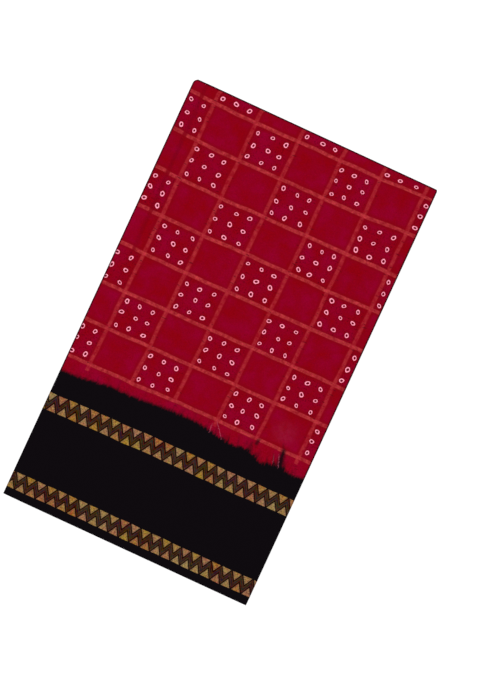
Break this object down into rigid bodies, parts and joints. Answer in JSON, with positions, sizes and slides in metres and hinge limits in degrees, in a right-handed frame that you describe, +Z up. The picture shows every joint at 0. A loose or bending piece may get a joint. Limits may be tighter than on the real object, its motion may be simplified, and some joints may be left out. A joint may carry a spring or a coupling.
{
  "type": "folded tie-dye saree",
  "caption": "Tie-dyed saree folded back and forth into a flat oblong stack, with a red checked body, small tied rings and a dark border with zigzag bands.",
  "frame": {"origin": "under the middle of the stack, on the surface that it rests on", "axes": "+Y from the selvages to the long fold, along the stack's longest side, +Z up through the layers, +X to the right of the top panel"},
  "size_m": [0.3438, 0.5877, 0.0229],
  "materials": {
    "dyed_cotton": "fine cotton weave, tie-dyed deep red with a black dip-dyed border and woven gold bands, matt with a faint sheen"
  },
  "bodies": {
    "root": {"saree": "dyed_cotton"}
  },
  "joints": []
}
